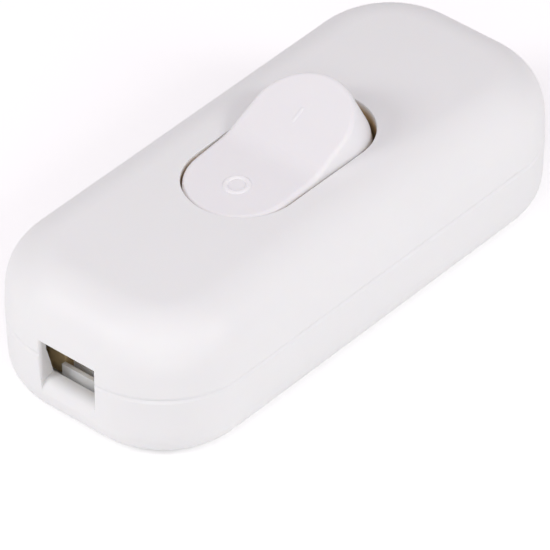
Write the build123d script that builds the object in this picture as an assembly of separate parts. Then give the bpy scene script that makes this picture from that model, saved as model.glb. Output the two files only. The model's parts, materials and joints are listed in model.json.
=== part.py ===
"""In-line rocker switch for a two-core lamp cord.

A moulded housing in two halves carries a see-saw rocker, a spring plunger, a tipping contact bar, the
terminals of the switched pole, a neutral link and a clamp for the cord at each end.

Millimetres. Origin at the middle of the underside, +X along the switch, +Z up.
The rocker is drawn with its O end, at -X, pressed. At mid travel it stands level over its pivot.
"""
import os
from math import atan2, radians, tan

from build123d import *

# Housing
length = 62.0
width = 27.0
height = 16.0
parting_z = 8.1
corner_radius = 9.9
top_round = 5.3
foot_round = 3.8
draft_deg = 2.0
wall = 1.9
seam_bevel_depth = 0.12
seam_bevel_height = 0.35
lip_height = 1.2
lip_width = 0.85
lip_clearance = 0.1

# Cord entries in the end walls
entry_width = 6.8
entry_top_z = 9.9
entry_sill_z = 5.0
entry_flare = 0.45
entry_relief_side = 1.6
sill_round = 1.5
rest_rib_setback = 1.1
rest_rib_thickness = 0.6
rest_rib_rise = 0.25
rest_rib_inset = 0.05
rest_rib_round = 0.2

# Rocker opening and the collar under it, which holds the rocker's bearings
slot_length = 22.8
slot_width = 12.2
slot_edge_round = 0.08
collar_wall = 1.2
collar_depth = 6.2
trunnion_diameter = 2.5
trunnion_clearance = 0.05
trunnion_end_gap = 0.2
bearing_mouth = 2.2

# Rocker
rocker_end_gap = 0.2
rocker_side_gap = 0.1
rocker_tilt_deg = 14.5
dish_deg = 10.5
dish_round = 6.0
dish_rise = 0.55
pivot_depth = 4.0
lean_start = 1.2
end_lean = 1.25
side_lean = 0.35
rocker_edge_round = 0.5
rocker_wall = 1.2
upward_share = 0.5
skirt_drop = 1.7
skirt_flat = 6.0
skirt_end_rise = 0.2

# Plunger and spring in the rocker's post
plunger_diameter = 2.4
plunger_clearance = 0.1
plunger_body_length = 3.0
plunger_stem_diameter = 1.1
plunger_stem_length = 1.6
plunger_tip_gap = 0.06
post_wall = 0.8
post_grip = 1.7
spring_wire = 0.34
spring_length = 3.6
spring_turns = 5
spring_side_gap = 0.12
spring_end_gap = 0.05

# Contact bar, its cradle and its contacts
pole_y = -2.4
bar_length = 15.0
bar_width = 4.4
bar_thickness = 0.8
bar_end_round = 1.0
bar_tilt_deg = 5.0
bar_lift = 1.7
bar_pin_diameter = 1.0
bar_pin_root = 0.5
bar_pin_end = 0.1
bar_pin_clearance = 0.07
cradle_length = 4.0
cradle_side_gap = 0.6
cradle_rise = 0.2
contact_reach = 6.0
contact_diameter = 2.6
contact_edge_round = 0.2
moving_contact_height = 0.6
fixed_contact_height = 0.4
rivet_diameter = 1.4
rivet_clearance = 0.03
rivet_tail_diameter = 2.0
rivet_tail_height = 0.3
dimple_diameter = 1.6
dimple_height = 0.9

# Terminals
strip_thickness = 0.8
strip_width = 5.0
strip_end_round = 0.8
strip_lap = 2.0
terminal_setback = 9.4
terminal_rise = 2.1
neutral_y = 5.2
terminal_screw_diameter = 2.9
terminal_screw_length = 3.3
terminal_head_diameter = 4.8
terminal_head_height = 1.7
wire_plate_size = 4.8
wire_plate_thickness = 0.8
terminal_boss_margin = 0.3
barrier_thickness = 0.8
barrier_height = 5.6
barrier_gap = 0.3
barrier_reach = 2.0

# Cord clamps
clamp_setback = 6.6
clamp_width = 4.2
clamp_thickness = 2.0
clamp_spread = 10.8
clamp_seat_z = 7.4
clamp_pad_depth = 0.9
clamp_pad_inset = 0.3
clamp_edge_round = 0.4
tooth_depth = 0.6
anvil_drop = 0.3
anvil_width = 1.6
anvil_side_gap = 0.1
saddle_bridge_height = 1.6
saddle_bridge_thickness = 1.2
saddle_edge_round = 0.3
saddle_foot_bevel = 0.6
saddle_boss_gap = 0.2
fork_gap = 0.1
fork_spread = 11.6
fork_foot_gap = 0.2
fork_edge_round = 0.2
peg_height = 0.8
clamp_screw_diameter = 2.5
clamp_screw_length = 6.4
clamp_head_diameter = 4.0
clamp_head_height = 1.5

# Housing screws, in two opposite corners
housing_screw_setback = 4.6
housing_screw_y = 7.6
housing_screw_diameter = 2.6
housing_screw_bite = 4.2
housing_head_diameter = 4.2
housing_head_height = 1.6
housing_head_inset = 0.4
housing_boss_wall = 0.8
housing_boss_gap = 0.2

# Fits and small edges
screw_clearance = 0.03
hole_clearance = 0.15
hole_end_gap = 0.2
recess_width = 0.6
recess_share = 0.6
recess_depth = 0.7
head_edge_round = 0.4
overshoot = 1.0

# Heights and places that follow from the sizes above
floor_z = wall
ceiling_z = height - wall
half_length = length / 2
entry_half = entry_width / 2
pivot_z = height - pivot_depth
collar_low = height - collar_depth
strip_top = floor_z + strip_thickness
pad_z = floor_z + terminal_rise
pad_top = pad_z + strip_thickness
plate_top = pad_top + wire_plate_thickness
bar_pivot_z = strip_top + bar_lift
bar_top = bar_pivot_z + bar_thickness
cradle_half = bar_width / 2 + cradle_side_gap + strip_thickness
clamp_x = half_length - clamp_setback
clamp_top = clamp_seat_z + clamp_thickness
terminal_x = clamp_x - terminal_setback
strip_end = terminal_x + strip_width / 2
strip_half = strip_width / 2
terminal_boss_half = strip_half + terminal_boss_margin
housing_screw_x = clamp_x - housing_screw_setback
housing_seat_z = housing_head_inset + housing_head_height
head_bore = housing_head_diameter + 2 * hole_clearance
head_boss = head_bore + 2 * housing_boss_wall
saddle_half = clamp_width / 2
saddle_inner = clamp_spread / 2 - saddle_half
saddle_outer = clamp_spread / 2 + saddle_half
rib_front = half_length - wall - rest_rib_setback
rib_back = rib_front - rest_rib_thickness
rocker_half_length = slot_length / 2 - rocker_end_gap
rocker_half_width = slot_width / 2 - rocker_side_gap
dish_z = height + dish_rise
dish_slope = tan(radians(dish_deg))
plunger_radius = plunger_diameter / 2
bore_radius = plunger_radius + plunger_clearance
tip_z = bar_top + plunger_tip_gap
plunger_shoulder_z = tip_z + plunger_radius + plunger_body_length
bore_end_z = plunger_shoulder_z + spring_length + 2 * spring_end_gap


def upright(diameter, low, high, x=0.0, y=0.0):
    """A vertical cylinder between two heights."""
    return Pos(x, y, (low + high) / 2) * Cylinder(diameter / 2, high - low)


def block(x_range, y_range, z_range):
    """A box given by its limits along each axis."""
    centre = [(low + high) / 2 for low, high in (x_range, y_range, z_range)]
    sides = [high - low for low, high in (x_range, y_range, z_range)]
    return Pos(*centre) * Box(*sides)


def slot_prism(half_x, half_y, low, high):
    """A vertical prism with straight sides and round ends."""
    return Pos(0, 0, low) * extrude(SlotOverall(2 * half_x, 2 * half_y), high - low)


def across(outline, y_low, y_high):
    """An outline drawn in X and Z, extruded along Y."""
    return Pos(0, y_high, 0) * extrude(Plane.XZ * outline, y_high - y_low)


def tipped(shape, z, angle_deg):
    """A shape turned about a cross axis at a height, with its -X end up for a positive angle."""
    return Pos(0, 0, z) * Rot(0, angle_deg, 0) * Pos(0, 0, -z) * shape


def both_ends(shape):
    """A shape at +X and its copy, turned half round, at -X."""
    return shape + Rot(0, 0, 180) * shape


def screw(shank_diameter, shank_length, head_diameter, head_height):
    """A pan-head screw with a cross recess, its head seated on Z = 0."""
    head = upright(head_diameter, 0, head_height)
    head = fillet(head.faces().sort_by(Axis.Z)[-1].edges(), head_edge_round)
    arm = recess_share * head_diameter / 2
    recess = (head_height - recess_depth, head_height + overshoot)
    half = recess_width / 2
    head -= block((-arm, arm), (-half, half), recess) + block((-half, half), (-arm, arm), recess)
    return head + upright(shank_diameter, -shank_length, 0)


def housing_outline(inset):
    """The housing's outline at the seam, at a distance inside its outer face."""
    return RectangleRounded(length - 2 * inset, width - 2 * inset, corner_radius - inset)


def half_shell(inset, rise, edge_round):
    """A solid half of the housing, rising from the parting plane at Z = 0."""
    body = extrude(housing_outline(inset), rise, taper=draft_deg)
    return fillet(body.faces().sort_by(Axis.Z)[-1].edges(), edge_round)


def hollow_half(rise, edge_round):
    """A hollow half of the housing, with a shallow bevel along the seam."""
    outer = half_shell(0, rise, edge_round)
    seam = outer.faces().sort_by(Axis.Z)[0]
    outer = chamfer(seam.edges(), seam_bevel_depth, seam_bevel_height, reference=seam)
    return outer - half_shell(wall, rise - wall, edge_round - wall)


def entry_gap(low, high):
    """The gap of a cord entry in both end walls, with eased outer corners."""
    gap = block((half_length - 2 * wall, half_length + overshoot), (-entry_half, entry_half), (low, high))
    corner_x = half_length - entry_flare
    corner_y = entry_half + entry_flare
    corner = block((corner_x, half_length + overshoot), (entry_half, corner_y), (low, high))
    corner -= upright(2 * entry_flare, low - overshoot, high + overshoot, corner_x, corner_y)
    return both_ends(gap + corner + corner.mirror(Plane.XZ))


def sill_lip():
    """What is cut off under both cord entries, so that the sill rolls over into the outer face."""
    low = entry_sill_z - sill_round
    outer = half_length - (parting_z - low) * tan(radians(draft_deg))
    centre = outer - sill_round
    lip = block((centre, half_length + overshoot), (-entry_half, entry_half), (low, entry_sill_z))
    lip -= Pos(centre, 0, low) * Rot(90, 0, 0) * Cylinder(sill_round, 2 * entry_width)
    return both_ends(lip)


def entry_relief():
    """What is cut from the base's end walls round both entries: they thin upwards, and have no lip."""
    inner = half_length - wall
    outer = inner + lip_width
    back = inner - rest_rib_setback / 2
    top = parting_z + lip_height + overshoot
    points = [(back, entry_sill_z), (inner, entry_sill_z), (outer, parting_z), (outer, top), (back, top)]
    reach = entry_half + entry_relief_side
    return both_ends(across(make_face(Polyline(*points, close=True)), -reach, reach))


def housing_screw_places():
    """The two opposite corners that hold a housing screw."""
    return [(housing_screw_x, housing_screw_y), (-housing_screw_x, -housing_screw_y)]


def terminal_places():
    """The four terminal screws: two on the switched pole, two on the neutral link."""
    return [(side * terminal_x, y) for y in (pole_y, neutral_y) for side in (-1, 1)]


def clamp_screw_places():
    """The four cord clamp screws, in pairs across each cord."""
    return [(end * clamp_x, side * clamp_spread / 2) for end in (-1, 1) for side in (-1, 1)]


def top_cover():
    """Upper half: a crowned shell with the rocker's opening, its collar and two screw bosses."""
    cover = Pos(0, 0, parting_z) * hollow_half(height - parting_z, top_round)
    half_x = slot_length / 2
    half_y = slot_width / 2
    cover += slot_prism(half_x + collar_wall, half_y + collar_wall, collar_low, ceiling_z + wall / 2)
    boss_diameter = housing_screw_diameter + 2 * (hole_clearance + housing_boss_wall)
    for x, y in housing_screw_places():
        cover += upright(boss_diameter, parting_z + housing_boss_gap, ceiling_z + wall / 2, x, y)
    cover -= slot_prism(half_x, half_y, collar_low - overshoot, height + overshoot)
    opening = cover.faces().sort_by(Axis.Z)[-1].inner_wires()[0]
    cover = fillet(opening.edges(), slot_edge_round)
    bearing = trunnion_diameter + 2 * trunnion_clearance
    reach = half_y + collar_wall + overshoot
    cover -= Pos(0, 0, pivot_z) * Rot(90, 0, 0) * Cylinder(bearing / 2, 2 * reach)
    mouth = bearing_mouth / 2
    cover -= block((-mouth, mouth), (-reach, reach), (collar_low - overshoot, pivot_z))
    for x, y in housing_screw_places():
        hole = housing_screw_diameter + 2 * screw_clearance
        top = parting_z + housing_boss_gap + housing_screw_bite + hole_end_gap
        cover -= upright(hole, parting_z, top, x, y)
    rebate = housing_outline(wall - lip_width - lip_clearance)
    cover -= Pos(0, 0, parting_z) * extrude(rebate, lip_height + lip_clearance)
    return cover - entry_gap(parting_z - overshoot, entry_top_z)


def base_shell():
    """Lower half: a shallow tray with the seam's lip, screw bosses, terminal seats and cord rests."""
    base = Pos(0, 0, parting_z) * Rot(180, 0, 0) * hollow_half(parting_z, foot_round)
    lip = housing_outline(wall - lip_width) - housing_outline(wall)
    base += Pos(0, 0, parting_z) * extrude(lip, lip_height)
    root_z = floor_z / 2
    shank_bore = housing_screw_diameter + 2 * hole_clearance
    for x, y in housing_screw_places():
        base += upright(head_boss, root_z, housing_seat_z + housing_boss_wall, x, y)
        base += upright(shank_bore + 2 * housing_boss_wall, root_z, parting_z, x, y)
    for x, y in terminal_places():
        half = terminal_boss_half
        base += block((x - half, x + half), (y - half, y + half), (root_z, pad_z))
    for x, y in clamp_screw_places():
        base += upright(clamp_screw_diameter, root_z, floor_z + peg_height, x, y)
    barrier_x = bar_length / 2 + barrier_reach
    barrier_y = pole_y + cradle_half + bar_pin_end + barrier_gap
    barrier_top = floor_z + barrier_height
    barrier_sides = (barrier_y, barrier_y + barrier_thickness)
    base += block((-barrier_x, barrier_x), barrier_sides, (root_z, barrier_top))
    base += both_ends(rest_rib() + cord_anvil())
    for x, y in housing_screw_places():
        base -= upright(head_bore, -overshoot, housing_seat_z, x, y)
        base -= upright(shank_bore, 0, parting_z + overshoot, x, y)
    for x, y in terminal_places():
        hole_low = plate_top - terminal_screw_length - hole_end_gap
        base -= upright(terminal_screw_diameter + 2 * hole_clearance, hole_low, pad_z + overshoot, x, y)
    base -= entry_gap(entry_sill_z, parting_z + lip_height + overshoot) - both_ends(rest_rib())
    return base - sill_lip() - entry_relief()


def rest_rib():
    """The rib behind the sill at +X that a cord is bent over."""
    half = entry_half - rest_rib_inset
    top = entry_sill_z + rest_rib_rise
    rib = block((rib_back, rib_front), (-half, half), (floor_z / 2, top))
    return fillet(rib.edges().group_by(Axis.Z)[-1].group_by(Axis.X)[0], rest_rib_round)


def cord_anvil():
    """The bed on the floor that a cord is pressed on, with a tooth at its inner end."""
    inner = -anvil_width / 2
    outer = saddle_half
    ridge = entry_sill_z - anvil_drop
    points = [(inner, floor_z / 2), (outer, floor_z / 2), (outer, ridge), (0, ridge)]
    points.append((inner, ridge - tooth_depth))
    outline = make_face(Polyline(*points, close=True))
    reach = saddle_inner - anvil_side_gap
    return Pos(clamp_x, 0, 0) * across(outline, -reach, reach)


def rocker_block(inset):
    """The rocker's outer form, or its hollow with an inset: a prism that leans in above its shoulder."""
    shoulder = pivot_z + lean_start
    crown = dish_z + rocker_half_length * dish_slope
    half_x = rocker_half_length - inset
    half_y = rocker_half_width - inset
    low = pivot_z - skirt_drop - (overshoot if inset else 0)
    skirt = slot_prism(half_x, half_y, low, shoulder)
    foot = Pos(0, 0, shoulder) * SlotOverall(2 * half_x, 2 * half_y)
    head = Pos(0, 0, crown) * SlotOverall(2 * (half_x - end_lean), 2 * (half_y - side_lean))
    return skirt + loft([foot, head], ruled=True)


def rocker_side(drop, skirt_low, skirt_end):
    """The rocker's side view: a dished top, and a skirt that is deepest at the pivot."""
    reach = rocker_half_length + overshoot
    valley = dish_z - drop
    crown = valley + reach * dish_slope
    flat = skirt_flat / 2
    points = [(-reach, crown), (0, valley), (reach, crown), (reach, skirt_end)]
    points += [(flat, skirt_low), (-flat, skirt_low), (-reach, skirt_end)]
    outline = make_face(Polyline(*points, close=True))
    dish = outline.vertices().sort_by_distance((0, valley, 0))[0]
    outline = fillet(dish, dish_round)
    return across(outline, -slot_width / 2, slot_width / 2)


def rocker_button():
    """See-saw button: a dished cap with a hollow post for the plunger and two trunnions."""
    skirt_low = pivot_z - skirt_drop
    skirt_end = pivot_z + skirt_end_rise
    cap = rocker_block(0) & rocker_side(0, skirt_low, skirt_end)
    tops = [face for face in cap.faces() if face.normal_at().Z > upward_share]
    shared = [edge for face in tops for edge in face.edges()]
    rim = [edge for edge in shared if shared.count(edge) == 1]
    cap = fillet(rim, rocker_edge_round)
    below = skirt_low - 2 * overshoot
    cap -= rocker_block(rocker_wall) & rocker_side(rocker_wall, below, below)
    post_low = plunger_shoulder_z - post_grip
    post_diameter = 2 * (bore_radius + post_wall)
    cap += upright(post_diameter, post_low, dish_z - rocker_wall / 2, 0, pole_y)
    cap -= upright(2 * bore_radius, post_low - overshoot, bore_end_z, 0, pole_y)
    inner = rocker_half_width - rocker_wall / 2
    outer = slot_width / 2 + collar_wall - trunnion_end_gap
    pin = Rot(90, 0, 0) * Cylinder(trunnion_diameter / 2, outer - inner)
    pin = Pos(0, (inner + outer) / 2, pivot_z) * pin
    return cap + pin + pin.mirror(Plane.XZ)


def spring_plunger():
    """Plunger with a round nose, and a stem that centres the spring."""
    stem = plunger_stem_diameter / 2
    top = plunger_shoulder_z + plunger_stem_length
    nose_z = tip_z + plunger_radius
    nose = CenterArc((0, nose_z), plunger_radius, -90, 90)
    points = [(plunger_radius, nose_z), (plunger_radius, plunger_shoulder_z), (stem, plunger_shoulder_z)]
    points += [(stem, top), (0, top), (0, tip_z)]
    outline = make_face(Curve() + [nose, Polyline(*points)])
    return Pos(0, pole_y, 0) * revolve(Plane.XZ * outline, Axis.Z)


def plunger_spring():
    """Coil spring between the plunger's shoulder and the end of its bore."""
    low = plunger_shoulder_z + spring_end_gap + spring_wire / 2
    high = bore_end_z - spring_end_gap - spring_wire / 2
    radius = bore_radius - spring_side_gap - spring_wire / 2
    path = Helix((high - low) / spring_turns, high - low, radius)
    section = Plane(path @ 0, z_dir=path % 0) * Circle(spring_wire / 2)
    return Pos(0, pole_y, low) * sweep(section, path)


def contact_bar():
    """See-saw bar with two round pins that rock in the cradle, drawn level."""
    outline = RectangleRounded(bar_length, bar_width, bar_end_round)
    outline -= Pos(-contact_reach, 0) * Circle(rivet_diameter / 2 + rivet_clearance)
    root = bar_width / 2 - bar_pin_root
    end = cradle_half + bar_pin_end
    pin = Pos(0, (root + end) / 2, 0) * Rot(90, 0, 0) * Cylinder(bar_pin_diameter / 2, end - root)
    return Pos(0, pole_y, bar_pivot_z) * (extrude(outline, bar_thickness) + pin + pin.mirror(Plane.XZ))


def moving_contact():
    """Rivet under the bar's free end, drawn level."""
    low = bar_pivot_z - moving_contact_height
    head = upright(contact_diameter, low, bar_pivot_z)
    head = fillet(head.faces().sort_by(Axis.Z)[0].edges(), contact_edge_round)
    rivet = head + upright(rivet_diameter, bar_pivot_z, bar_top)
    rivet += upright(rivet_tail_diameter, bar_top, bar_top + rivet_tail_height)
    return Pos(-contact_reach, pole_y, 0) * rivet


def fixed_contact():
    """Rivet on the switched terminal, under the moving contact."""
    head = upright(contact_diameter, strip_top, strip_top + fixed_contact_height)
    head = fillet(head.faces().sort_by(Axis.Z)[-1].edges(), contact_edge_round)
    return Pos(-contact_reach, pole_y, 0) * (head + upright(rivet_diameter, floor_z, strip_top))


def terminal_strip(start):
    """A strip that lies on the floor from a start and steps up, past the contact, to a screw pad at +X."""
    step = terminal_x - terminal_boss_half
    foot = (contact_reach + contact_diameter / 2 + step) / 2
    bend = strip_thickness * tan(atan2(terminal_rise, step - foot) / 2)
    points = [(start, floor_z), (foot, floor_z), (step, pad_z), (strip_end, pad_z), (strip_end, pad_top)]
    points += [(step - bend, pad_top), (foot - bend, strip_top), (start, strip_top)]
    strip = across(make_face(Polyline(*points, close=True)), -strip_half, strip_half)
    corners = strip.edges().filter_by(Axis.Z).group_by(Axis.X)[-1]
    strip = fillet(corners, strip_end_round)
    hole = terminal_screw_diameter + 2 * screw_clearance
    return strip - upright(hole, pad_z - overshoot, pad_top + overshoot, terminal_x)


def common_terminal():
    """Terminal strip with the notched cradle of the contact bar and a dimple that stops it."""
    half_x = cradle_length / 2
    inner = bar_width / 2 + cradle_side_gap
    top = bar_top + cradle_rise
    cradle = block((-half_x, half_x), (-cradle_half, cradle_half), (floor_z, strip_top))
    ear = block((-half_x, half_x), (inner, cradle_half), (floor_z, top))
    seat = bar_pin_diameter / 2 + bar_pin_clearance
    ear -= block((-seat, seat), (0, 2 * cradle_half), (bar_pivot_z, top + overshoot))
    ear -= Pos(0, cradle_half, bar_pivot_z) * Rot(90, 0, 0) * Cylinder(seat, 2 * cradle_half)
    dimple = upright(dimple_diameter, strip_top, strip_top + dimple_height, contact_reach)
    dimple = fillet(dimple.faces().sort_by(Axis.Z)[-1].edges(), dimple_diameter / 4)
    return Pos(0, pole_y, 0) * (terminal_strip(-half_x) + cradle + ear + ear.mirror(Plane.XZ) + dimple)


def switched_terminal():
    """Terminal strip under the moving contact, with a hole for the fixed contact's rivet."""
    strip = Rot(0, 0, 180) * terminal_strip(contact_reach - strip_lap)
    hole = rivet_diameter + 2 * rivet_clearance
    return Pos(0, pole_y, 0) * (strip - upright(hole, 0, strip_top + overshoot, -contact_reach))


def neutral_link():
    """Flat bar that joins the unswitched cores."""
    outline = RectangleRounded(2 * strip_end, strip_width, strip_end_round)
    for side in (-1, 1):
        outline -= Pos(side * terminal_x, 0) * Circle(terminal_screw_diameter / 2 + screw_clearance)
    return Pos(0, neutral_y, pad_z) * extrude(outline, strip_thickness)


def wire_plate():
    """Square plate under a terminal screw."""
    outline = RectangleRounded(wire_plate_size, wire_plate_size, strip_end_round)
    outline -= Circle(terminal_screw_diameter / 2 + screw_clearance)
    return extrude(outline, wire_plate_thickness)


def cord_clamp():
    """Toothed bar across the cord, with a screw at each end."""
    reach = (clamp_spread + clamp_width) / 2
    bar = Rot(0, 0, 90) * slot_prism(reach, clamp_width / 2, 0, clamp_thickness)
    bar = fillet(bar.faces().sort_by(Axis.Z)[-1].edges(), clamp_edge_round)
    half = clamp_width / 2 - clamp_pad_inset
    low = -clamp_pad_depth
    points = [(-half, 0), (-half, low), (-half / 2, low - tooth_depth), (0, low)]
    points += [(half / 2, low - tooth_depth), (half, low), (half, 0)]
    pad_half = entry_half - clamp_pad_inset
    bar += across(make_face(Polyline(*points, close=True)), -pad_half, pad_half)
    for side in (-1, 1):
        hole = clamp_screw_diameter + 2 * hole_clearance
        bar -= upright(hole, -overshoot, clamp_thickness + overshoot, 0, side * clamp_spread / 2)
    return bar


def fork_ear():
    """The ear of a saddle at +X that stands beside the cord, right behind the rest rib."""
    z_range = (foot_round + fork_foot_gap, clamp_seat_z)
    ear = block((clamp_x, rib_back - fork_gap), (entry_half, fork_spread / 2), z_range)
    return fillet(ear.edges().filter_by(Axis.Z).group_by(Axis.X)[-1], fork_edge_round)


def cord_saddle():
    """Two square pillars at +X for the clamp's screws, with a fork in front and a low bridge behind."""
    x_range = (clamp_x - saddle_half, clamp_x + saddle_half)
    pillar = block(x_range, (saddle_inner, saddle_outer), (floor_z, clamp_seat_z))
    pillar = chamfer(pillar.faces().sort_by(Axis.Z)[0].edges(), saddle_foot_bevel)
    pillar = fillet(pillar.edges().filter_by(Axis.Z), saddle_edge_round)
    pillar += fork_ear()
    bridge_x = (x_range[0], x_range[0] + saddle_bridge_thickness)
    bridge_top = floor_z + saddle_bridge_height
    saddle = pillar + pillar.mirror(Plane.XZ)
    saddle += block(bridge_x, (-clamp_spread / 2, clamp_spread / 2), (floor_z, bridge_top))
    for side in (-1, 1):
        hole = clamp_screw_diameter + 2 * screw_clearance
        saddle -= upright(hole, 0, clamp_top, clamp_x, side * clamp_spread / 2)
    notch = head_boss + 2 * saddle_boss_gap
    return saddle - upright(notch, 0, clamp_top, housing_screw_x, housing_screw_y)


def screws_at(places, z, one_screw):
    """Copies of one screw, as separate solids, seated at a height."""
    return Compound(children=[Pos(x, y, z) * one_screw for x, y in places])


def build_parts():
    """Every piece of the switch, in place, by name."""
    rocker_angle = -rocker_tilt_deg
    bar_angle = bar_tilt_deg
    parts = {
        "top_cover": top_cover(),
        "base_shell": base_shell(),
        "rocker_button": tipped(rocker_button(), pivot_z, rocker_angle),
        "spring_plunger": tipped(spring_plunger(), pivot_z, rocker_angle),
        "plunger_spring": tipped(plunger_spring(), pivot_z, rocker_angle),
        "contact_bar": tipped(contact_bar(), bar_pivot_z, bar_angle),
        "moving_contact": tipped(moving_contact(), bar_pivot_z, bar_angle),
        "fixed_contact": fixed_contact(),
        "common_terminal": common_terminal(),
        "switched_terminal": switched_terminal(),
        "neutral_link": neutral_link(),
    }
    for number, (x, y) in enumerate(terminal_places(), start=1):
        parts[f"wire_plate_{number}"] = Pos(x, y, pad_top) * wire_plate()
    for name, end in (("near", -1), ("far", 1)):
        parts[f"cord_clamp_{name}"] = Pos(end * clamp_x, 0, clamp_seat_z) * cord_clamp()
        parts[f"cord_saddle_{name}"] = Rot(0, 0, 90 - 90 * end) * cord_saddle()
    terminal_screw = screw(
        terminal_screw_diameter, terminal_screw_length, terminal_head_diameter, terminal_head_height)
    clamp_screw = screw(clamp_screw_diameter, clamp_screw_length, clamp_head_diameter, clamp_head_height)
    housing_screw_length = parting_z + housing_boss_gap + housing_screw_bite - housing_seat_z
    housing_screw = Rot(180, 0, 0) * screw(
        housing_screw_diameter, housing_screw_length, housing_head_diameter, housing_head_height)
    parts["terminal_screws"] = screws_at(terminal_places(), plate_top, terminal_screw)
    parts["cord_clamp_screws"] = screws_at(clamp_screw_places(), clamp_top, clamp_screw)
    parts["housing_screws"] = screws_at(housing_screw_places(), housing_seat_z, housing_screw)
    return parts


os.makedirs("parts", exist_ok=True)
for part_name, shape in build_parts().items():
    export_step(shape, f"parts/{part_name}.step")
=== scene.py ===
"""In-line rocker switch: finishes, raised marks, floor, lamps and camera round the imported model.

Metres, in the model's own axes: +X along the switch, +Z up, origin at the middle of the underside.
"""
import json
from math import cos, pi, radians, sin

import bmesh
import bpy
from mathutils import Matrix, Vector

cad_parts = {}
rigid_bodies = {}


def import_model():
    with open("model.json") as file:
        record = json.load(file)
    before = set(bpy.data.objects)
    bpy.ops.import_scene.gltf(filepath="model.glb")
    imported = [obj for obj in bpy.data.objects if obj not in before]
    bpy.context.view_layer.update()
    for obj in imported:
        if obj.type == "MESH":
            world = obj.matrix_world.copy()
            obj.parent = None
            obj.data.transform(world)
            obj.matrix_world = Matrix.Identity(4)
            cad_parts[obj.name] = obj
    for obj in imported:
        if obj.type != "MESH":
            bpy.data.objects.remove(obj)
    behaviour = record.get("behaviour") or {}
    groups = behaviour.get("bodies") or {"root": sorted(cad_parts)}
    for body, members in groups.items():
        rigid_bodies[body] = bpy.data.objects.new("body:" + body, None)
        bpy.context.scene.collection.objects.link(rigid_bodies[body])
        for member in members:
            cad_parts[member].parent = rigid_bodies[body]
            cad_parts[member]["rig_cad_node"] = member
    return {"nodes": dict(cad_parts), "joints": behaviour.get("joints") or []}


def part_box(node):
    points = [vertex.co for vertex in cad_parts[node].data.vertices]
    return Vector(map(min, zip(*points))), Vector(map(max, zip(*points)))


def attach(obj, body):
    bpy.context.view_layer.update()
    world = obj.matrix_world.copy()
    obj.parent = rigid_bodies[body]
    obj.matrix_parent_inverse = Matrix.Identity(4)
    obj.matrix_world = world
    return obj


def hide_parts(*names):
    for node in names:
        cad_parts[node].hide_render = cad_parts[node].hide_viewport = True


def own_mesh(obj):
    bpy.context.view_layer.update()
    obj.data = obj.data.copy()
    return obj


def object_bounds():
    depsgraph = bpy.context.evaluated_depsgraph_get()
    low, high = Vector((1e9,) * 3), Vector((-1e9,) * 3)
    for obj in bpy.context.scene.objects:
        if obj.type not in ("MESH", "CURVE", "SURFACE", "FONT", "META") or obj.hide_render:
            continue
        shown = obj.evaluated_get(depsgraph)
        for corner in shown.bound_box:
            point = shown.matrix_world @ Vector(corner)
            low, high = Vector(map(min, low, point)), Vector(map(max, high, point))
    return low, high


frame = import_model()
cad_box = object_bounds()
nodes = frame["nodes"]
mm = 0.001

# Camera, in the photograph's frame
photo_side = 550
camera_azimuth_deg = -48.81
camera_elevation_deg = 38.77
camera_roll_deg = -0.46
camera_distance = 0.6657
camera_reach = 20.0
focal_pixels = 6754.5
origin_pixel = (279.8, 281.5)
sensor_width = 36.0

# Raised marks on the rocker
mark_depth = 0.3 * mm
mark_band = 0.55 * mm
ring_height = 0.13 * mm
ring_diameter = 2.8 * mm
ring_place = (-6.43 * mm, -0.23 * mm)
ring_steps = 128
ring_section_points = 24
bar_mark_height = 0.04 * mm
bar_mark_length = 2.1 * mm
bar_mark_place = (3.35 * mm, 0.44 * mm)
bar_mark_segments = 48
bar_mark_rings = 24
middle_margin = 0.01 * mark_band
merge_distance = 0.001 * mm

# Painted shade: a warm brown painted down the walls of the rocker's opening, below the cover's upper face
opening_half_length = 11.6 * mm
opening_half_width = 6.3 * mm
painted_shade_start = 0.06 * mm
painted_shade_depth = 1.0 * mm
painted_shade_colour = (0.68, 0.49, 0.26)

# Lighter and darker tone of each finish, as linear colours
housing_tones = ((0.903, 0.912, 0.905), (0.883, 0.892, 0.885))
rocker_tones = ((0.912, 0.907, 0.915), (0.892, 0.887, 0.895))
# The marks' tones are lighter than the rocker's own plastic: a painted highlight on their raised tops
mark_painted_highlight_tones = ((0.96, 0.955, 0.958), (0.95, 0.945, 0.948))
ochre_tones = ((0.72, 0.56, 0.31), (0.64, 0.49, 0.26))
nylon_tones = ((0.82, 0.79, 0.70), (0.76, 0.72, 0.62))
wire_tones = ((0.60, 0.60, 0.61), (0.48, 0.48, 0.50))
brass_tones = ((0.83, 0.62, 0.26), (0.68, 0.48, 0.18))
silver_tones = ((0.90, 0.89, 0.86), (0.78, 0.77, 0.75))
zinc_tones = ((0.74, 0.75, 0.77), (0.60, 0.61, 0.63))

# Middle of a noise that goes from 0 to 1
noise_middle = 0.5

# White plastic: its gloss, its flow clouds and waves, its spark-eroded grain, and the light that seeps in
housing_roughness = 0.42
rocker_roughness = 0.38
cloud_size = 9 * mm
wave_size = 4 * mm
wave_relief = 0.012 * mm
spark_size = 0.22 * mm
spark_relief = 0.006 * mm
spark_sway = 0.08
seep_share = 0.15
seep_depth = 0.6 * mm
seep_by_colour = (1.0, 0.8, 0.6)
white_plastic_ior = 1.49
white_plastic_specular = 0.3

# Tinted plastic: its clouds and its dull grain
tint_size = 2 * mm
dull_size = 0.3 * mm
dull_relief = 0.008 * mm
dull_sway = 0.1

# Metal: its drawn lines and its tarnish
drawn_stretch = 0.08
drawn_relief = 0.004 * mm
drawn_sway = 0.15
tarnish_size = 1.5 * mm
tarnish_sway = 0.12

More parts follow.
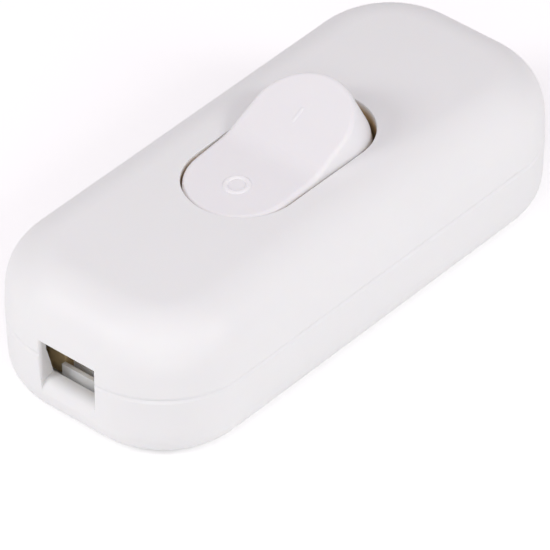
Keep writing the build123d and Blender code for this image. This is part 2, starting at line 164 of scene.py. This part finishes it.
# Light
sky_front = 0.68
sky_back = 0.39
sky_zenith_colour = (1.0, 0.89, 0.985)
lamp_side = 0.1
lamp_distance = 0.3
side_lamp_elevation_deg = 35.0
left_lamp_power = 0.218
left_lamp_azimuth_deg = -115.0
right_lamp_power = 0.215
right_lamp_azimuth_deg = 15.0
front_lamp_power = 0.06
front_lamp_azimuth_deg = -52.0
front_lamp_elevation_deg = 40.0
floor_side = 6.0
floor_drop = 0.02 * mm
floor_shade = 0.93
floor_lift = 0.3
white = (1, 1, 1)


class Value:
    """A node's output in one finish, used in an expression as a number would be."""

    def __init__(self, finish, link):
        self.finish = finish
        self.link = link

    def combine(self, operation, first, second):
        return self.finish.node("ShaderNodeMath", {"operation": operation}, {0: first, 1: second})

    def __add__(self, other):
        return self.combine("ADD", self, other)

    __radd__ = __add__

    def __sub__(self, other):
        return self.combine("SUBTRACT", self, other)

    def __rsub__(self, other):
        return self.combine("SUBTRACT", other, self)

    def __mul__(self, other):
        return self.combine("MULTIPLY", self, other)

    __rmul__ = __mul__

    def __lt__(self, other):
        return self.combine("LESS_THAN", self, other)

    def __abs__(self):
        return self.combine("ABSOLUTE", self, 0.0)


class Finish:
    """A node tree of a material or of the world, with one method that adds any node."""

    def __init__(self, owner):
        owner.use_nodes = True
        self.owner = owner
        self.tree = owner.node_tree
        self.tree.nodes.clear()

    def node(self, kind, settings=None, inputs=None, output=0):
        """Adds a node: its settings first, then the values or links of its sockets."""
        made = self.tree.nodes.new(kind)
        for name, value in (settings or {}).items():
            setattr(made, name, value)
        for name, value in (inputs or {}).items():
            if isinstance(value, Value):
                self.tree.links.new(value.link, made.inputs[name])
            else:
                made.inputs[name].default_value = value
        return Value(self, made.outputs[output]) if made.outputs else None

    def place(self):
        """A point of the surface, in the model's own axes."""
        return self.node("ShaderNodeTexCoord", output="Object")

    def axis(self, name):
        """One coordinate of a point of the surface."""
        return self.node("ShaderNodeSeparateXYZ", None, {"Vector": self.place()}, output=name)

    def ramp(self, value, start, end):
        """A share that goes from 0 to 1 between two values."""
        return self.node("ShaderNodeMapRange", None, {"Value": value, "From Min": start, "From Max": end})

    def noise(self, size, detail=2.0, place=None):
        """Soft noise from 0 to 1, with patches of about the given size."""
        inputs = {"Vector": place or self.place(), "Scale": 1 / size, "Detail": detail}
        return self.node("ShaderNodeTexNoise", None, inputs)

    def between(self, share, first, second):
        """A colour between two others: a Mix node takes them at sockets 6 and 7, and gives it at 2."""
        ends = [value if isinstance(value, Value) else (*value, 1) for value in (first, second)]
        inputs = {0: share, 6: ends[0], 7: ends[1]}
        return self.node("ShaderNodeMix", {"data_type": "RGBA"}, inputs, output=2)

    def bump(self, height, relief, normal=None):
        """Small relief, as deep as it says, on a plain surface or over another relief."""
        inputs = {"Height": height, "Distance": relief, "Strength": 1.0}
        if normal:
            inputs["Normal"] = normal
        return self.node("ShaderNodeBump", None, inputs)

    def surface(self, shader):
        """Sets the tree's output."""
        of_world = isinstance(self.owner, bpy.types.World)
        kind = "ShaderNodeOutputWorld" if of_world else "ShaderNodeOutputMaterial"
        self.node(kind, None, {"Surface": shader})
        return self.owner


def sway(noise, amount):
    """Noise moved to lie evenly about 0, as wide as the amount."""
    return amount * (noise - noise_middle)


def painted_shade_share(finish):
    """Where shade is painted: a share that grows down the walls of the rocker's opening, and is 0 outside
    it.
    """
    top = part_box("top_cover")[1].z - painted_shade_start
    deep = finish.ramp(finish.axis("Z"), top, top - painted_shade_depth)
    inside = (abs(finish.axis("X")) < opening_half_length) * (abs(finish.axis("Y")) < opening_half_width)
    return deep * inside


def moulded_white(name, tones, roughness, painted_shade_tint=None):
    """White moulded plastic: a fine spark-eroded grain, faint flow clouds and light that seeps in, and, if
    given, painted shade down the walls of the rocker's opening.
    """
    finish = Finish(bpy.data.materials.new(name))
    light, shade = tones
    colour = finish.between(finish.noise(cloud_size), shade, light)
    # Painted shade: the walls of the rocker's opening turn warm brown with depth
    if painted_shade_tint:
        colour = finish.between(painted_shade_share(finish), colour, painted_shade_tint)
    grain = finish.noise(spark_size, detail=3.0)
    waves = finish.bump(finish.noise(wave_size, detail=1.0), wave_relief)
    shader = finish.node("ShaderNodeBsdfPrincipled", None, {
        "Base Color": colour,
        "Roughness": roughness + sway(grain, spark_sway),
        "Normal": finish.bump(grain, spark_relief, normal=waves),
        "Subsurface Weight": seep_share,
        "Subsurface Radius": seep_by_colour,
        "Subsurface Scale": seep_depth,
        "IOR": white_plastic_ior,
        "Specular IOR Level": white_plastic_specular,
    })
    return finish.surface(shader)


def plain_plastic(name, tones, roughness):
    """Tinted moulded plastic with a dull grain."""
    finish = Finish(bpy.data.materials.new(name))
    light, shade = tones
    grain = finish.noise(dull_size, detail=3.0)
    shader = finish.node("ShaderNodeBsdfPrincipled", None, {
        "Base Color": finish.between(finish.noise(tint_size), shade, light),
        "Roughness": roughness + sway(grain, dull_sway),
        "Normal": finish.bump(grain, dull_relief),
    })
    return finish.surface(shader)


def worked_metal(name, tones, roughness, line_width):
    """Metal with a drawn grain along X and faint tarnish."""
    finish = Finish(bpy.data.materials.new(name))
    light, shade = tones
    stretch = {"Vector": finish.place(), "Scale": (drawn_stretch, 1.0, 1.0)}
    lines = finish.noise(line_width, place=finish.node("ShaderNodeMapping", None, stretch))
    tarnish = finish.noise(tarnish_size, detail=4.0)
    shader = finish.node("ShaderNodeBsdfPrincipled", None, {
        "Base Color": finish.between(tarnish, shade, light),
        "Metallic": 1.0,
        "Roughness": roughness + sway(lines, drawn_sway) + sway(tarnish, tarnish_sway),
        "Normal": finish.bump(lines, drawn_relief),
    })
    return finish.surface(shader)


def dress_nodes():
    """Gives each node of the model its finish, by its own name or by the slot that it was packed with."""
    by_slot = {
        "white_plastic": moulded_white("housing_white", housing_tones, housing_roughness),
        "clamp_plastic": plain_plastic("clamp_ochre", ochre_tones, roughness=0.55),
        "nylon": plain_plastic("nylon_natural", nylon_tones, roughness=0.45),
        "spring_steel": worked_metal("spring_wire", wire_tones, roughness=0.30, line_width=0.1 * mm),
        "brass": worked_metal("stamped_brass", brass_tones, roughness=0.34, line_width=0.12 * mm),
        "silver_contact": worked_metal("contact_silver", silver_tones, roughness=0.28, line_width=0.1 * mm),
        "plated_steel": worked_metal("zinc_plate", zinc_tones, roughness=0.32, line_width=0.1 * mm),
    }
    # The cover's white carries painted shade down the walls of the rocker's opening
    cover_white_painted_shade = moulded_white("cover_white_painted_shade", housing_tones, housing_roughness, painted_shade_tint=painted_shade_colour)
    rocker_white = moulded_white("rocker_white", rocker_tones, rocker_roughness)
    by_node = {"top_cover": cover_white_painted_shade, "rocker_button": rocker_white}
    for name, node in nodes.items():
        slot = node.material_slots[0].material.name.split(".")[0]
        node.material_slots[0].material = by_node.get(name) or by_slot[slot]


def deselect_all():
    """Leaves nothing selected, as before a new primitive."""
    bpy.ops.object.select_all(action="DESELECT")


def ring_mark():
    """A low raised ring with a domed section."""
    deselect_all()
    bpy.ops.mesh.primitive_circle_add(vertices=ring_section_points, radius=mark_band / 2)
    bpy.ops.object.mode_set(mode="EDIT")
    bpy.ops.transform.rotate(value=radians(90), orient_axis="X", center_override=(0, 0, 0))
    bpy.ops.transform.translate(value=((ring_diameter - mark_band) / 2, 0, 0))
    bpy.ops.mesh.spin(steps=ring_steps, angle=2 * pi, center=(0, 0, 0), axis=(0, 0, 1))
    bpy.ops.mesh.select_all(action="SELECT")
    bpy.ops.mesh.remove_doubles(threshold=merge_distance)
    bpy.ops.mesh.normals_make_consistent(inside=False)
    return pressed_flat("on_off_ring")


def bar_mark():
    """A low raised bar with a domed section and round ends: a ball drawn out from its middle."""
    deselect_all()
    bpy.ops.mesh.primitive_uv_sphere_add(
        segments=bar_mark_segments, ring_count=bar_mark_rings, radius=mark_band / 2)
    bpy.ops.object.mode_set(mode="EDIT")
    bpy.ops.mesh.select_all(action="DESELECT")
    mesh = bmesh.from_edit_mesh(bpy.context.object.data)
    for vertex in mesh.verts:
        vertex.select_set(vertex.co.x > middle_margin)
    mesh.select_flush(True)
    bmesh.update_edit_mesh(bpy.context.object.data)
    reach = bar_mark_length - mark_band
    bpy.ops.transform.translate(value=(reach, 0, 0))
    bpy.ops.mesh.select_all(action="SELECT")
    bpy.ops.transform.translate(value=(-reach / 2, 0, 0))
    return pressed_flat("on_off_bar")


def pressed_flat(name):
    """Presses a round section to the mark's depth and ends the edit."""
    bpy.ops.transform.resize(value=(1, 1, mark_depth / mark_band), center_override=(0, 0, 0))
    bpy.ops.object.mode_set(mode="OBJECT")
    bpy.ops.object.shade_smooth()
    piece = bpy.context.object
    piece.name = name
    return piece


def seat_on_rocker(piece, place, height, finish):
    """Sets a mark on the rocker's upper face, sunk in but for its height, to ride with the rocker."""
    above = Vector((*place, 2 * cad_box[1].z))
    _, point, normal, _ = nodes["rocker_button"].ray_cast(above, Vector((0, 0, -1)))
    across = Vector((0, 1, 0))
    along = across.cross(normal).normalized()
    turn = Matrix((along, across, normal)).transposed().to_4x4()
    piece.matrix_world = Matrix.Translation(point + normal * (height - mark_depth / 2)) @ turn
    bpy.ops.object.transform_apply(location=True, rotation=True, scale=True)
    piece.data.materials.append(finish)
    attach(piece, "rocker")


def springy_coil():
    """The plunger's spring, as a copy that rides with the rocker in place of the model's own; how much of
    it the plunger's full slide would leave is worked out but not used.
    """
    deselect_all()
    node = nodes["plunger_spring"]
    node.select_set(True)
    bpy.context.view_layer.objects.active = node
    bpy.ops.object.duplicate()
    coil = bpy.context.object
    coil.name = "plunger_coil"
    del coil["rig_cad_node"]
    slide = next(joint for joint in frame["joints"] if joint["name"] == "plunger_slide")
    axis = Vector(slide["axis"])
    heights = [point.co.dot(axis) for point in coil.data.vertices]
    keep = 1 - slide["range_m"][1] / (max(heights) - min(heights))
    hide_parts("plunger_spring")
    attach(coil, "rocker")
    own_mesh(coil)


def shown_background(finish):
    """1 for a ray that shows the background, straight or in a reflection, and 0 for one that lights."""
    straight, mirrored, refracted = [
        finish.node("ShaderNodeLightPath", output=ray)
        for ray in ("Is Camera Ray", "Is Glossy Ray", "Is Transmission Ray")]
    return straight + mirrored + refracted


def lay_floor():
    """A pale floor: white to the camera where it is lit, with the switch's soft shadow on it."""
    deselect_all()
    bpy.ops.mesh.primitive_plane_add(size=floor_side, location=(0, 0, -floor_drop))
    bpy.ops.object.transform_apply(location=True, rotation=False, scale=False)
    floor = bpy.context.object
    floor.name = "floor"
    finish = Finish(bpy.data.materials.new("pale_floor"))
    glow = floor_lift * shown_background(finish)
    lift = finish.node("ShaderNodeEmission", None, {"Color": (*white, 1), "Strength": glow})
    matt = finish.node("ShaderNodeBsdfDiffuse", None, {"Color": (floor_shade, floor_shade, floor_shade, 1)})
    lifted = finish.node("ShaderNodeAddShader", None, {0: matt, 1: lift})
    floor.data.materials.append(finish.surface(lifted))


def light_sky():
    """A pale sky, brighter on the camera's side: soft light, white to the camera and in reflections."""
    world = bpy.data.worlds.new("studio")
    bpy.context.scene.world = world
    finish = Finish(world)
    seen = shown_background(finish)
    way = finish.node("ShaderNodeTexCoord", output="Generated")
    sides = {0: way, 1: direction(camera_azimuth_deg, 0)}
    front = finish.node("ShaderNodeVectorMath", {"operation": "DOT_PRODUCT"}, sides, output="Value")
    rise = finish.node("ShaderNodeSeparateXYZ", None, {"Vector": way}, output="Z")
    light = (sky_front + sky_back) / 2 + (sky_front - sky_back) / 2 * front
    strength = light + (1 - light) * seen
    colour = finish.between(finish.ramp(rise, 0, 1), white, sky_zenith_colour)
    colour = finish.between(seen, colour, white)
    finish.surface(finish.node("ShaderNodeBackground", None, {"Color": colour, "Strength": strength}))


def direction(azimuth_deg, elevation_deg):
    """The way from the switch to something, with azimuth 0 in front of it, at -Y."""
    azimuth = radians(azimuth_deg)
    elevation = radians(elevation_deg)
    return Vector((sin(azimuth) * cos(elevation), -cos(azimuth) * cos(elevation), sin(elevation)))


def hang_lamp(name, power, azimuth_deg, elevation_deg):
    """A soft lamp near the switch, turned to it."""
    way = direction(azimuth_deg, elevation_deg)
    lamp = bpy.data.lights.new(name, "AREA")
    lamp.shape = "SQUARE"
    lamp.size = lamp_side
    lamp.energy = power
    stand = bpy.data.objects.new(name, lamp)
    stand.location = way * lamp_distance
    stand.rotation_euler = way.to_track_quat("Z", "Y").to_euler()
    stand.visible_camera = False
    bpy.context.scene.collection.objects.link(stand)


def set_camera():
    """A long lens at the photograph's viewing angle."""
    back = direction(camera_azimuth_deg, camera_elevation_deg)
    data = bpy.data.cameras.new("camera")
    data.sensor_width = sensor_width
    data.lens = sensor_width * focal_pixels / photo_side
    data.shift_x = (photo_side / 2 - origin_pixel[0]) / photo_side
    data.shift_y = (origin_pixel[1] - photo_side / 2) / photo_side
    data.clip_end = camera_reach
    camera = bpy.data.objects.new("camera", data)
    camera.location = back * camera_distance
    roll = Matrix.Rotation(radians(camera_roll_deg), 4, back)
    turn = back.to_track_quat("Z", "Y").to_matrix().to_4x4()
    camera.rotation_euler = (roll @ turn).to_euler()
    bpy.context.scene.collection.objects.link(camera)
    bpy.context.scene.camera = camera


dress_nodes()
# Marks: the rocker's plastic painted lighter as a painted highlight; their domed relief is real shape
mark_white_painted_highlight = moulded_white("mark_white_painted_highlight", mark_painted_highlight_tones, rocker_roughness)
seat_on_rocker(ring_mark(), ring_place, ring_height, mark_white_painted_highlight)
seat_on_rocker(bar_mark(), bar_mark_place, bar_mark_height, mark_white_painted_highlight)
springy_coil()
lay_floor()
light_sky()
hang_lamp("left_softbox", left_lamp_power, left_lamp_azimuth_deg, side_lamp_elevation_deg)
hang_lamp("right_softbox", right_lamp_power, right_lamp_azimuth_deg, side_lamp_elevation_deg)
hang_lamp("front_softbox", front_lamp_power, front_lamp_azimuth_deg, front_lamp_elevation_deg)
set_camera()
bpy.context.scene.view_settings.view_transform = "Standard"
